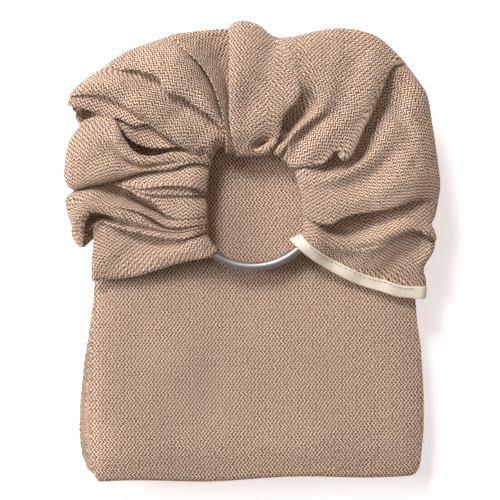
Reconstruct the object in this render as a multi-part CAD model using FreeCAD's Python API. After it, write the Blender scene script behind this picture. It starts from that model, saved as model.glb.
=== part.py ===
"""A ring sling for carrying a baby, folded flat for storage: FreeCAD model, in millimetres.

One long woven cloth is folded in three across its width and then zigzag into a stack of seven stretches.
Its shoulder end turns over the far edge of the stack, is gathered through two aluminium rings that lie one
on the other, and fans out round them in pleats. A cream tape binds one long edge of the cloth, and the other
is a turned hem.

The model is drawn about the centre of the rings, X to the right, Y towards the far edge and Z up from the
table. place() then moves each solid so that the origin is under the centre of the whole object's box.
"""

import math
import os

import FreeCAD
import Part

V = FreeCAD.Vector

# Rings: the size that slings of this kind share, a 3 inch eye in 5 mm wire.
EYE_R = 38.0
WIRE_R = 2.6
RING_R = EYE_R + WIRE_R
RING_SPACING = 2 * WIRE_R + 0.3

# The folded body: seven stretches of the cloth, each three plies thick.
PITCH = 3.5
STRETCH_T = 3.2
STACK_LEFT = -99.0
STACK_RIGHT = 102.5
STACK_NEAR = -169.0
STACK_FAR = 66.0
NEAR_CORNER_R = 7.0
FAR_CORNER_R = 24.0
EDGE_ROUND = 0.42
# How far each stretch's left, right, near and far edges lie from the stack's, from the lowest stretch up.
STRETCH_EDGES = [
    (2.0, -1.5, 15.0, -2.0),
    (-2.5, -2.0, 3.0, -1.0),
    (0.5, 0.0, 4.0, 0.0),
    (-5.0, -3.5, 9.0, -1.5),
    (-4.0, -2.5, 10.0, 0.0),
    (1.0, -1.0, 2.5, -1.5),
    (0.0, 0.0, 0.0, 0.0),
]
STACK_TOP = PITCH * len(STRETCH_EDGES)

# The underlay: the cloth between the stack and the rim, which spreads on the table under the fan.
UNDERLAY_R = 98.0
UNDERLAY_GAP = 0.5
UNDERLAY_T = 22.0
UNDERLAY_ROUND = 6.0

# The shoulder: the gathered casing round the rings and the pleats that fan out from it.
FOLD_Y = 108.0
FLAP_Z = STACK_TOP + 0.3
CASING_WALL = 1.2
CASING_HALF_W = 10.8
CASING_H = 19.0
CASING_FROM = -40.0
CASING_TO = 230.0
CHANNEL_CLEAR = 0.5
# The widest pleat's straight inner side comes nearer to the rings than its corners do.
PLEAT_IN_R = RING_R + CASING_HALF_W + 5.6
PLEAT_GAP = 0.35
PLEAT_FLOOR = STACK_TOP + 1.6
BACK_RING_Z = FLAP_Z + CASING_WALL + WIRE_R
FRONT_RING_Z = BACK_RING_Z + RING_SPACING

# Each pleat: name, angle at the casing and at the rim for its two sides, and rim radius at those sides.
# Angles are in degrees from +X, and a pleat shares each side with its neighbour.
PLEAT_SIDES = [
    ("tape_side_pleat", -35.0, -27.2, 117.0),
    ("right_pleat", -16.0, 0.0, 111.0),
    ("upper_right_pleat", 21.0, 42.0, 119.0),
    ("crown_pleat", 67.0, 81.0, 99.0),
    ("narrow_crown_pleat", 106.0, 97.5, 107.0),
    ("upper_left_pleat", 118.0, 112.0, 108.5),
    ("left_pleat", 145.0, 155.5, 116.0),
    ("rolled_pleat", 160.0, 176.5, 112.0),
    ("lower_left_pleat", 197.0, 185.5, 95.0),
    ("hem_side_pleat", 205.0, 193.0, 96.0),
    (None, 210.5, 200.0, 106.0),
]
PLEAT_TOPS = {"in": 42.5, "mid": 49.0, "out": 42.0, "rim": 36.0}
PLEAT_MID = 0.45
RIM_ROUND = 4.0
RIM_SQUEEZE = 0.8
SECTION_POINTS = 14
SECTION_POWER = 0.55

# Edge bindings: half width, thickness and their centre lines, from the casing to the rim.
TAPE_HALF_W = 2.8
HEM_HALF_W = 4.0
BAND_T = 1.8
TAPE_LINE = [(40.8, -34.3, 33.0), (60.0, -43.3, 31.5), (81.0, -51.4, 29.5), (102.8, -57.2, 27.5)]
HEM_LINE = [(-43.5, -33.5, 31.5), (-60.0, -37.4, 30.5), (-79.0, -41.4, 29.0), (-98.0, -44.6, 27.5)]

# Sewing thread.
THREAD_R = 0.35
STITCH = 2.6
STITCH_PITCH = 4.2
SEAM_R = (56.0, 62.0)
SEAM_FROM = -30.0
SEAM_TO = 218.0
SEAM_Z = STACK_TOP + 0.9

# The tail's hem: the cloth's free end, which finishes the lowest stretch at its near end.
TAIL_HEM_W = 11.0
TAIL_HEM_T = 2.8
TAIL_GAP = 0.4


def polar(radius, degrees, z=0.0):
    a = math.radians(degrees)
    return V(radius * math.cos(a), radius * math.sin(a), z)


def ring(z):
    """A ring of round wire."""
    return Part.makeTorus(RING_R, WIRE_R, V(0, 0, z))


def casing():
    """The gathered cloth that holds both rings: a collar with one channel, open along the rings' near arc."""
    half_h = CASING_H / 2
    middle = V(RING_R, 0, FLAP_Z + half_h)
    collar = Part.Ellipse(middle, CASING_HALF_W, half_h).toShape()
    collar.rotate(middle, V(1, 0, 0), 90)
    reach = WIRE_R + CHANNEL_CLEAR
    low = V(RING_R, 0, BACK_RING_Z)
    high = V(RING_R, 0, FRONT_RING_Z)
    side = V(reach, 0, 0)
    channel = Part.Wire(
        [
            Part.Arc(low - side, low - V(0, 0, reach), low + side).toShape(),
            Part.LineSegment(low + side, high + side).toShape(),
            Part.Arc(high + side, high + V(0, 0, reach), high - side).toShape(),
            Part.LineSegment(high - side, low - side).toShape(),
        ]
    )
    outer = Part.Face(Part.Wire([collar]))
    section = outer.cut(Part.Face(channel))
    section.rotate(V(0, 0, 0), V(0, 0, 1), CASING_FROM)
    return section.revolve(V(0, 0, 0), V(0, 0, 1), CASING_TO - CASING_FROM).Solids[0]


def section_wire(left, right, bottom, top):
    """A closed, cushion-shaped section that stands on the line from left to right."""
    middle = (left + right) * 0.5
    along = (right - left) * 0.5
    mid_z = (bottom + top) / 2
    half_h = (top - bottom) / 2
    points = []
    for k in range(SECTION_POINTS):
        a = 2 * math.pi * k / SECTION_POINTS
        c, s = math.cos(a), math.sin(a)
        wide = math.copysign(abs(c) ** SECTION_POWER, c)
        tall = math.copysign(abs(s) ** SECTION_POWER, s)
        points.append(V(middle.x + along.x * wide, middle.y + along.y * wide, mid_z + half_h * tall))
    curve = Part.BSplineCurve()
    curve.interpolate(points, PeriodicFlag=True)
    return Part.Wire([curve.toShape()])


def pleat(side_a, side_b):
    """One pleat of the fan, from the casing to the rim, between the two sides given."""
    ends = []
    for _, inner, outer, rim in (side_a, side_b):
        ends.append((polar(PLEAT_IN_R, inner), polar(rim - RIM_ROUND, outer), polar(rim, outer)))
    sections = []
    for share, bottom, top in (
        (0.0, PLEAT_FLOOR, PLEAT_TOPS["in"]),
        (PLEAT_MID, PLEAT_FLOOR, PLEAT_TOPS["mid"]),
        (1.0, PLEAT_FLOOR, PLEAT_TOPS["out"]),
    ):
        pair = [start + (end - start) * share for start, end, _ in ends]
        gap = (pair[1] - pair[0]).normalize() * PLEAT_GAP
        sections.append(section_wire(pair[0] + gap, pair[1] - gap, bottom, top))
    rim = [tip for _, _, tip in ends]
    centre = (rim[0] + rim[1]) * 0.5
    rim = [centre + (tip - centre) * RIM_SQUEEZE for tip in rim]
    sections.append(section_wire(rim[0], rim[1], PLEAT_FLOOR + RIM_ROUND, PLEAT_TOPS["rim"]))
    return Part.makeLoft(sections, True, True)


def level_edges(solid):
    return [e for e in solid.Edges if abs(e.tangentAt(e.FirstParameter).z) < 0.1]


def upright_edges(solid):
    return [e for e in solid.Edges if abs(e.tangentAt(e.FirstParameter).z) > 0.9]


def underlay():
    """The cloth between the stack's far end and the rim, as a soft crescent on the table."""
    disc = Part.makeCylinder(UNDERLAY_R, UNDERLAY_T)
    cut_y = STACK_FAR + UNDERLAY_GAP
    keep = Part.makeBox(4 * UNDERLAY_R, UNDERLAY_R, UNDERLAY_T, V(-2 * UNDERLAY_R, cut_y, 0))
    crescent = disc.common(keep).Solids[0]
    rim = [e for e in level_edges(crescent) if e.Curve.TypeId == "Part::GeomCircle"]
    return crescent.makeFillet(UNDERLAY_ROUND, rim)


def stretch(index):
    """One stretch of the folded body: a soft slab of three plies, a little out of line with the others."""
    left, right, near, far = STRETCH_EDGES[index]
    size = V(right - left + STACK_RIGHT - STACK_LEFT, far - near + STACK_FAR - STACK_NEAR, STRETCH_T)
    corner = V(STACK_LEFT + left, STACK_NEAR + near, index * PITCH)
    box = Part.makeBox(size.x, size.y, size.z, corner)
    far_side = STACK_FAR + far - FAR_CORNER_R
    slab = box.makeFillet(NEAR_CORNER_R, [e for e in upright_edges(box) if e.CenterOfMass.y < 0])
    slab = slab.makeFillet(FAR_CORNER_R, [e for e in upright_edges(slab) if e.CenterOfMass.y > far_side])
    return slab.makeFillet(STRETCH_T * EDGE_ROUND, level_edges(slab))


def band(line, half_width):
    """A flat binding laid along a centre line."""
    points = [V(*p) for p in line]
    sections = []
    for k, p in enumerate(points):
        ahead = points[min(k + 1, len(points) - 1)] - points[max(k - 1, 0)]
        side = V(-ahead.y, ahead.x, 0).normalize() * half_width
        up = V(0, 0, BAND_T)
        sections.append(Part.makePolygon([p - side, p + side, p + side + up, p - side + up, p - side]))
    return Part.makeLoft(sections, True, True)


def stitches(points):
    """A row of sewn stitches: short threads along a line of points."""
    made = []
    length = sum((b - a).Length for a, b in zip(points, points[1:]))
    count = int(length / STITCH_PITCH)
    for k in range(count):
        at = (k + 0.5) * STITCH_PITCH
        for a, b in zip(points, points[1:]):
            run = (b - a).Length
            if at <= run:
                way = (b - a).normalize()
                made.append(Part.makeCylinder(THREAD_R, STITCH, a + way * (at - STITCH / 2), way))
                break
            at -= run
    return Part.makeCompound(made)


def band_stitches(line, inset):
    """Stitches on top of a binding, inset from its centre line towards the cloth."""
    raised = BAND_T + THREAD_R + 0.1
    return stitches([V(x, y + inset, z + raised) for x, y, z in line])


def seam_stitches(radius):
    """A row of stitches round the casing, under the pleats, that holds the turned end of the cloth."""
    steps = int((SEAM_TO - SEAM_FROM) / 8)
    turn = (SEAM_TO - SEAM_FROM) / steps
    return stitches([polar(radius, SEAM_FROM + turn * k, SEAM_Z) for k in range(steps + 1)])


def tail_hem():
    """The turned hem at the cloth's free end, past the near end of the lowest stretch."""
    left, right, near, _ = STRETCH_EDGES[0]
    corner = V(STACK_LEFT + left + NEAR_CORNER_R, STACK_NEAR + near - TAIL_GAP - TAIL_HEM_W, 0)
    long = STACK_RIGHT + right - NEAR_CORNER_R - corner.x
    strip = Part.makeBox(long, TAIL_HEM_W, TAIL_HEM_T, corner)
    along = [e for e in strip.Edges if abs(e.tangentAt(e.FirstParameter).x) > 0.9]
    return strip.makeFillet(TAIL_HEM_T * EDGE_ROUND, along)


def build():
    """Every node by name, about the rings' centre."""
    nodes = {
        "front_ring": ring(FRONT_RING_Z),
        "back_ring": ring(BACK_RING_Z),
        "ring_casing": casing(),
        "cream_edge_tape": band(TAPE_LINE, TAPE_HALF_W),
        "left_edge_hem": band(HEM_LINE, HEM_HALF_W),
        "tape_stitches": band_stitches(TAPE_LINE, 1.6),
        "left_hem_stitches": band_stitches(HEM_LINE, 2.4),
        "inner_seam_stitches": seam_stitches(SEAM_R[0]),
        "outer_seam_stitches": seam_stitches(SEAM_R[1]),
        "shoulder_underlay": underlay(),
        "tail_hem": tail_hem(),
    }
    for side_a, side_b in zip(PLEAT_SIDES, PLEAT_SIDES[1:]):
        nodes[side_a[0]] = pleat(side_a, side_b)
    for index in range(len(STRETCH_EDGES)):
        nodes[f"body_fold_{index + 1}"] = stretch(index)
    return nodes


def place(nodes):
    """Moves every solid so that the origin is under the middle of the object's box, and writes the files."""
    whole = Part.makeCompound(list(nodes.values())).BoundBox
    shift = V(-(whole.XMin + whole.XMax) / 2, -(whole.YMin + whole.YMax) / 2, -whole.ZMin)
    os.makedirs("parts", exist_ok=True)
    for name, shape in sorted(nodes.items()):
        moved = shape.copy()
        moved.translate(shift)
        moved.exportStep(f"parts/{name}.step")
    print("ring centre at", tuple(round(x, 3) for x in shift), "box", whole)
    print("fold axis at y", round(FOLD_Y + shift.y, 3), "z", round(STACK_TOP + shift.z, 3))
    bad = [n for n, s in nodes.items() if not s.isValid() or s.Volume <= 0]
    print("invalid or inside out:", bad)


place(build())
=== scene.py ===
"""The looks of a ring sling folded flat: its woven cloth, tape, thread and rings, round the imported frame."""

import math

import bpy
import numpy as np
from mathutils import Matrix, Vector


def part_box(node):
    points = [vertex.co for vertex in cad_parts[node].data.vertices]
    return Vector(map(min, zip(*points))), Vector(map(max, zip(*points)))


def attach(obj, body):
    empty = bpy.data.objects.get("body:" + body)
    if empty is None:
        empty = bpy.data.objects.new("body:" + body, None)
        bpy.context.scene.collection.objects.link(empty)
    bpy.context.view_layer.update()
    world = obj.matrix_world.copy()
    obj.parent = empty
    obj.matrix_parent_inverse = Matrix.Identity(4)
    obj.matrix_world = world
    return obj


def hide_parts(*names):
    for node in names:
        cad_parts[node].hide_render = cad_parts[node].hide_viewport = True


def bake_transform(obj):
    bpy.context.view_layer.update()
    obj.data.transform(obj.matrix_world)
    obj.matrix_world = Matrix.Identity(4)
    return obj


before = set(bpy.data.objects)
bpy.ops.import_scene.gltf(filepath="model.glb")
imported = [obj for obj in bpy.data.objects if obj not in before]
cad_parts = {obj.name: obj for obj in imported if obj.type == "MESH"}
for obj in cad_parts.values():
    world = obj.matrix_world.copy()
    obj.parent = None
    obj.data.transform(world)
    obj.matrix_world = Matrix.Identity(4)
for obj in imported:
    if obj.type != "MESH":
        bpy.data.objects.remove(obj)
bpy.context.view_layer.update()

MM = 0.001

ring_low, ring_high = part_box("front_ring")
CENTRE_X = (ring_low.x + ring_high.x) / 2
CENTRE_Y = (ring_low.y + ring_high.y) / 2
STACK_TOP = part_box("body_fold_7")[1].z
CLOTH = 0.8

# -------- the fan's guide lines
# The shoulder cloth is drawn by guide lines that run from the rings out to the rim. Points are x, y and
# height in millimetres, from the rings' centre and the top of the stack. The first point of each line is the
# collar's inner edge, given without its height; the second is the collar's crest and the last is on the rim.
# Lines go clockwise from the left hem. A fold line says which neighbour lies lower, and its points have one
# more number, how deep the cloth is tucked there.
LOWER_NEXT, LOWER_BEFORE = "lower next", "lower before"

HEM_LOBE = [
    ((-21.5, -30), (-25.5, -34, 13.8), (-36.7, -36.1, 12.6), (-46, -38.4, 10.6), (-58, -42, 8.6),
     (-67.4, -44.9, 7.3), (-77, -46.8, 6.4), (-88, -47.7, 5.8), (-97, -48.6, 5)),
    ((-24.3, -27.5), (-31, -29.5, 15), (-42, -32.5, 12.5), (-60, -35.5, 9.5), (-79, -36, 8),
     (-97, -39, 6.5)),
    ((-26.5, -23), (-35, -25, 15), (-44, -27.5, 12.5), (-60, -27.5, 9.5), (-78, -25, 8.5), (-88, -23, 8),
     (-96, -29, 7)),
    (LOWER_BEFORE, (-27.5, -19, 1), (-35, -22.3, 16, 2), (-44.2, -24.5, 14.5, 4), (-50.7, -24, 13.5, 4.5),
     (-59, -22.6, 13, 4.5), (-67.4, -20.7, 12.5, 4), (-78.6, -18, 11.5, 3), (-85.2, -16, 10.5, 1.5),
     (-92, -13.5, 9, 0.5), (-96, -21, 7.5, 0)),
    ((-27.5, -17.4), (-35, -20, 16.5), (-44, -22, 15.5), (-56, -20.5, 14.5), (-70, -17, 13),
     (-83, -13.2, 11), (-92, -11.3, 9.5), (-95.3, -16, 7.5)),
]
CURL = [
    (LOWER_BEFORE, (-27.5, -16.2, 0.5), (-35, -18, 17, 1), (-44, -19.5, 16, 1), (-54, -18.5, 15.5, 1.5),
     (-64, -15.5, 15, 2.5), (-72, -13.3, 14.5, 3.5), (-83, -10.7, 14.5, 5), (-91, -8.6, 14, 6),
     (-96.5, -8.4, 13.5, 7), (-99.5, -12, 12.5, 8), (-100.8, -17, 11.5, 8.5), (-101.4, -22.5, 10.5, 8),
     (-101.8, -28.5, 8.5, 6)),
    ((-27.5, -15.6), (-35, -17.2, 16.5), (-45, -18.6, 15), (-54, -16.8, 15), (-64, -12.7, 15.2),
     (-74, -10, 15.5), (-85, -7.5, 15.5), (-94, -6, 15), (-100.5, -10, 14), (-103, -17.5, 12.5),
     (-102.8, -27, 9.5)),
    (LOWER_BEFORE, (-27.5, -14.8, 1), (-35, -16.2, 17.5, 2), (-45, -17.2, 17.5, 4), (-51.5, -16.6, 17, 5),
     (-56, -13.8, 17, 5), (-60, -11.4, 17, 4.5), (-69, -7.3, 16.5, 2.5), (-77, -5.6, 16, 0.8),
     (-87, -4.6, 15.8, 0), (-96, -4.6, 15.3, 0), (-102, -9.5, 14.5, 0), (-104.5, -18, 12.3, 0),
     (-103.3, -26.5, 9.2, 0)),
    ((-27.5, -13.7), (-35, -14.3, 17.5), (-48, -15.3, 17.5), (-56, -12.8, 17), (-62, -9.3, 16),
     (-70, -5.8, 14.5), (-78, -3.5, 14), (-87, -2.5, 15), (-96, -2.8, 15.5), (-104, -8, 14.5),
     (-107.5, -17, 12), (-105, -24, 9)),
    ((-27.5, -12.8), (-35, -13.2, 17.5), (-47, -14, 17.5), (-55, -12, 15.5), (-62, -7.5, 12.5),
     (-70, -3.5, 9.5), (-78, -0.5, 9.5), (-88, 0.8, 13), (-98, 0.5, 15), (-107, -3.5, 13), (-111, -9, 10)),
    ((-27.5, -12), (-35, -12.6, 17.5), (-46, -13, 17), (-53, -11.3, 14), (-60, -5.5, 9.5), (-68, -0.8, 7),
     (-76, 2.3, 7.5), (-84, 5, 10), (-92, 5, 12.5), (-101, 4.5, 12.5), (-112, 0.5, 9.5)),
]
LEFT_LENS = [
    (LOWER_BEFORE, (-27.5, -10.5, 0), (-35, -12, 17.7, 0.5), (-43, -12.6, 18, 1), (-48.8, -11, 17.7, 3),
     (-52.6, -9.2, 17.3, 5), (-56.3, -5, 17, 6), (-60, -1.4, 16.5, 6.5), (-66.5, 0.6, 16, 7),
     (-70, 3, 15.5, 6.5), (-74, 5.4, 14.8, 5.5), (-78.6, 7.2, 14, 5), (-84.2, 9, 12.5, 4), (-97, 8, 9.5, 2),
     (-107, 5.5, 7.5, 1)),
    ((-27.5, -5), (-35, -5, 17.5), (-47, -4.5, 18.5), (-57, 0, 17.5), (-67, 3, 16), (-76, 7, 14.8),
     (-84, 9.6, 12), (-97, 9, 9), (-106.5, 6, 7)),
    (LOWER_BEFORE, (-27.5, 1.8, 0.5), (-30.5, 2.6, 15, 1.5), (-36.7, 2, 18.8, 2), (-50.7, 2, 19.7, 2),
     (-60, 2.5, 18.7, 1.5), (-67.4, 4, 17, 1), (-76, 7.8, 15, 0.3), (-84, 10, 12, 0), (-97, 9.5, 8.8, 0),
     (-106, 6.5, 6.7, 0)),
    (LOWER_BEFORE, (-27.5, 3.6, 1), (-31, 4.8, 17, 2.5), (-35.8, 6.4, 20, 3), (-41.4, 7.3, 21, 3),
     (-50.7, 7.6, 21, 2), (-60, 6.7, 19.7, 1.5), (-68, 6, 17.6, 1), (-77, 8.5, 15.3, 0.3),
     (-84, 10.4, 12, 0), (-97, 9.8, 8.6, 0), (-105.5, 7, 6.5, 0)),
    ((-27, 12), (-34, 13, 17.5), (-48, 12.5, 20.5), (-60, 11.5, 19.5), (-70, 11, 17.5), (-79, 10.5, 15),
     (-84, 10.7, 11.5), (-96, 10.5, 8), (-105, 8, 6)),
]
BIG_LEFT_LOBE = [
    (LOWER_BEFORE, (-25.4, 20, 1), (-32, 21.5, 16.5, 2), (-40.4, 20.6, 18.5, 3), (-47, 18, 18.5, 4),
     (-55.4, 17, 18.3, 5), (-62, 16.6, 18, 5.5), (-68, 15.4, 17.8, 4), (-76, 12.8, 17, 4),
     (-83, 10.7, 16.3, 4), (-97, 8, 14, 4.5), (-107, 5.5, 11, 4)),
    ((-25.3, 20.7), (-31.5, 22.2, 16.5), (-42, 20.8, 19), (-56, 18.4, 19), (-66, 17.2, 18.5),
     (-74, 16.8, 19.3), (-83, 15, 20), (-97, 13, 17.5), (-112, 10, 12)),
    ((-25.2, 21.2), (-31.2, 22.7, 16.5), (-43, 21.4, 18.5), (-56, 19.2, 17.5), (-65, 18.1, 16.5),
     (-74, 20.5, 17.5), (-84, 24, 20), (-98, 24, 18), (-112.5, 22, 12)),
    ((-25.1, 21.7), (-31, 23.1, 16.5), (-43, 22.1, 19), (-56, 20.1, 18), (-65, 19.2, 17), (-73, 21.5, 16.5),
     (-79.5, 25.5, 16.5), (-84, 31, 17), (-91, 36, 17.5), (-101, 37, 15), (-109.5, 36, 11)),
    ((-25, 22.3), (-30.6, 23.8, 16.5), (-43, 23.6, 19.5), (-55.5, 21.8, 20.3), (-64, 21, 21),
     (-71, 22.8, 21.3), (-77, 26.5, 21.3), (-81.6, 33.6, 20.5), (-84, 40, 18.5), (-91, 44, 15.5),
     (-104.5, 43, 10)),
    (LOWER_NEXT, (-24.8, 23, 1), (-30.2, 24.7, 16, 2), (-36, 25.8, 17.5, 4), (-42.6, 27.4, 18.5, 6),
     (-49, 27.3, 19, 7), (-55, 25.7, 19.5, 8), (-62, 25, 19.5, 8.5), (-68, 26.2, 19.5, 8.5),
     (-73, 30, 19, 8), (-77.5, 36.5, 18, 7), (-80.5, 43.5, 16.5, 6), (-84, 48.5, 14.5, 5), (-91, 50, 12, 4),
     (-97.5, 48.4, 10.5, 5), (-104.6, 44.8, 9, 4)),
    ((-24.6, 23.8), (-29.4, 26.3, 13), (-42, 29.5, 9.5), (-50, 29.6, 8), (-58, 28.5, 7), (-66, 30, 7),
     (-72, 34, 7.5), (-77, 40.5, 8), (-81, 46.5, 7.5), (-88, 53.5, 5), (-97, 53.5, 3.5), (-106.8, 49.5, 4)),
]
UPPER_LEFT_LOBE = [
    (LOWER_BEFORE, (-24.5, 24.4, 0.5), (-29, 27.5, 14, 1), (-44.5, 31.2, 13.5, 3), (-50, 30.7, 13.5, 4),
     (-56, 30.4, 13.5, 4.5), (-64, 31.1, 13.5, 4.5), (-72.8, 34.8, 13.5, 4), (-78, 40.9, 13, 3.5),
     (-80.5, 45.5, 12, 3), (-86, 51.5, 10, 2), (-93, 55.5, 8, 1), (-99, 56.5, 7, 0.5),
     (-106.7, 52.5, 6, 0)),
    ((-24.3, 25), (-28.7, 28.3, 15), (-44, 32.3, 14.5), (-54, 33.8, 15), (-64, 36, 15), (-73, 40.3, 14.5),
     (-80, 46, 13.5), (-88, 51.5, 10.5), (-97, 54.5, 8), (-108.5, 54.5, 6.5)),
    (LOWER_BEFORE, (-24, 25.6, 1), (-28.3, 29.3, 16.5, 2.5), (-36, 28.8, 18, 4), (-43.6, 32, 18.5, 5),
     (-51, 37.3, 18.5, 5), (-57.6, 41.6, 18, 4.5), (-63.4, 45, 17.5, 4), (-70.4, 43.6, 16.5, 3.5),
     (-75.7, 45.9, 16, 3), (-80, 48, 15.5, 3), (-89.6, 49.8, 14.5, 4), (-97.2, 52.8, 14, 5.5),
     (-111, 57, 12, 6.5)),
    (LOWER_BEFORE, (-23.7, 26.2, 0), (-27.8, 30.5, 17, 0.5), (-36, 30, 19, 0.5), (-43.6, 33.5, 19.5, 0.5),
     (-52, 39, 19.5, 0.5), (-62, 46.5, 19, 1), (-67.8, 49.6, 19, 1.5), (-78.6, 56.3, 18, 2.2),
     (-86.4, 60.5, 17, 2.2), (-96, 62, 15.5, 1.5), (-109.5, 61.5, 12, 1)),
    ((-22.7, 27.6), (-26.5, 31.8, 17.5), (-38, 38, 20.5), (-52, 47, 22), (-66, 57, 22), (-80, 65, 20.5),
     (-94, 68, 17.5), (-107, 66, 11)),
    ((-21, 30.2), (-23, 34.5, 17), (-28, 41.5, 19.5), (-38, 50, 20), (-48, 56.5, 20), (-57, 64.5, 18.5),
     (-68, 71, 18), (-82, 73, 16.5), (-97, 74, 11.5)),
]
UPPER_LOBE = [
    (LOWER_BEFORE, (-19.5, 30.8, 1), (-17.9, 35.5, 17, 2), (-18.1, 41.2, 19.5, 3), (-22.4, 46.2, 21, 4.5),
     (-28.2, 51.2, 22, 5), (-34, 54.8, 22.7, 5), (-39.7, 59.2, 23, 5), (-45.5, 61.7, 23, 5),
     (-50.5, 62.8, 22.7, 5), (-53.6, 67.1, 22.3, 5), (-56.5, 72.1, 21.5, 5), (-62, 74.5, 20.5, 4),
     (-70, 76.8, 18.5, 2.5), (-79, 77, 15.7, 0.8), (-88, 80, 11, 0)),
    ((-18.6, 31), (-17.4, 36, 17), (-17.8, 42.5, 20), (-22, 50, 22.5), (-28, 58, 23.7), (-35, 66, 24),
     (-42, 72.5, 24), (-50, 78.5, 23), (-60, 82.5, 20), (-70, 86, 15.5), (-78, 87.3, 11)),
    ((-17.9, 31), (-16.9, 36.2, 15.5), (-17.6, 44, 17), (-21, 54, 17.5), (-27, 66, 18.5), (-34, 76, 20),
     (-42, 84, 20), (-50, 90, 17), (-58, 93, 13.5), (-65, 92.5, 10.5)),
    ((-17.2, 30.6), (-16.5, 36.3, 14.5), (-17.3, 45, 12.5), (-19.5, 56, 12), (-23.5, 68, 13),
     (-29.5, 79, 15.5), (-37, 87.5, 16.5), (-45, 93, 14.5), (-54, 96.2, 11)),
    (LOWER_BEFORE, (-15.5, 28, 1), (-15.9, 33.5, 17.5, 3), (-16.7, 40.4, 20, 4.5), (-18.1, 49.1, 21, 5.5),
     (-21, 59.2, 21.5, 5.5), (-24.6, 69.2, 21.5, 5), (-29.6, 77.4, 20.7, 4), (-36, 84.5, 19.5, 2.5),
     (-43, 91, 17, 1), (-48.5, 98.3, 11, 0)),
    ((-14, 27.7), (-14, 34, 17), (-14.8, 44, 18), (-16.3, 57, 16.5), (-19, 70, 13.5), (-24, 82, 11.5),
     (-29, 92, 11.5), (-34, 100.5, 10)),
    ((-12.5, 27.3), (-12.6, 34, 16), (-13.5, 44, 15), (-14.5, 58, 12.5), (-16, 72, 11), (-18.5, 84, 10.5),
     (-21, 93, 11), (-23.5, 101.5, 10)),
]
CROWN_LOBE = [
    (LOWER_BEFORE, (-8.5, 25.8, 1), (-10.2, 30.5, 16.5, 2.5), (-12.6, 37.8, 19.5, 4.5),
     (-13.9, 47.4, 21, 6), (-14, 60, 22, 7.5), (-13.9, 72, 22, 8), (-13.8, 84, 20.5, 7.5),
     (-13.8, 94, 17.5, 5), (-14.5, 103, 11.5, 2)),
    ((-6.5, 25.6), (-7.6, 31, 17), (-9, 40, 20.5), (-10, 54, 23), (-10, 70, 24), (-9.5, 86, 22),
     (-8.8, 98, 17), (-8, 106.5, 11.5)),
    ((-1.5, 25.5), (-1.5, 31, 17), (-1, 42, 20.5), (-0.5, 56, 22.5), (0, 72, 23), (0.8, 86, 21),
     (1.8, 97, 16.5), (2.5, 104.5, 11)),
    ((4.5, 26), (6, 32, 17), (8, 42, 20.5), (10, 54, 22.5), (12, 68, 22.5), (13.5, 80, 20.5),
     (13.8, 90, 16), (12, 97.5, 11)),
    (LOWER_NEXT, (9.2, 26.2, 1), (12.5, 31.3, 16.5, 3), (15.3, 36.5, 18.7, 5), (16.7, 43, 20.3, 6.5),
     (18.5, 49, 21.5, 6.5), (22.8, 54, 22.3, 5.5), (27.3, 58.5, 22.6, 4), (28.3, 64.5, 22.6, 1.5),
     (25, 75, 21.5, 0), (22, 85, 19.5, 0), (19, 92, 16.5, 0), (17, 96.5, 11, 0)),
]
UPPER_RIGHT_LOBE = [
    ((11.5, 27), (14.7, 31, 15.5), (19, 36.5, 14), (22, 43, 13.5), (26, 49, 15), (31.5, 55, 18),
     (32.5, 65, 20.5), (29, 79, 20), (26, 90, 17), (24, 97, 11)),
    ((15.5, 25.5), (18.5, 30.5, 17), (23.5, 37.5, 19.3), (30, 44.2, 20.5), (38, 50.5, 21.5), (43, 60, 22),
     (43, 72, 21.7), (41.5, 84, 19.3), (40, 94, 15.3), (38, 100.5, 11)),
    ((19.5, 22.5), (25.2, 28.5, 15.5), (29.3, 36.8, 14.5), (34.3, 41, 15.5), (41, 46.5, 17.5),
     (48, 51.5, 19.3), (53, 60, 20.5), (55, 70, 20.8), (55.3, 82, 18.8), (55.5, 93, 15), (55, 102, 11)),
    ((22.5, 19.7), (29, 24.3, 17), (35.5, 31, 19.7), (44.5, 38.5, 21.3), (55, 45.5, 22.3), (64, 55, 22.5),
     (69, 67, 21.7), (71.5, 79, 19), (73, 88, 15), (73.5, 97.5, 11)),
    ((24, 18.5), (30.5, 21.2, 17), (40, 24.3, 18.7), (47, 31.3, 20), (56.5, 35, 20.7), (64, 46, 21.7),
     (71, 58, 21.5), (77, 69.5, 19.5), (83, 80, 15), (88, 85, 11)),
    (LOWER_NEXT, (24.5, 17.5, 1), (28.5, 18.9, 15, 2), (35, 19.6, 16.5, 3), (41, 20.3, 17.5, 4.5),
     (45.3, 24, 18.5, 5.5), (49.8, 29, 19, 6), (51.3, 25.5, 19, 5.5), (53.8, 22.5, 18.5, 5),
     (57.8, 24.3, 18.5, 5), (61.4, 29.8, 19.2, 5), (64.1, 36.7, 20, 5), (66.9, 43, 20.5, 5),
     (70.4, 49.9, 20.5, 5), (73.8, 57.4, 20, 5), (77.3, 65.7, 19, 4.5), (80, 73.3, 17.5, 3.5),
     (84, 79.5, 15, 1.5), (91.5, 81, 11, 0)),
]
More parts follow.
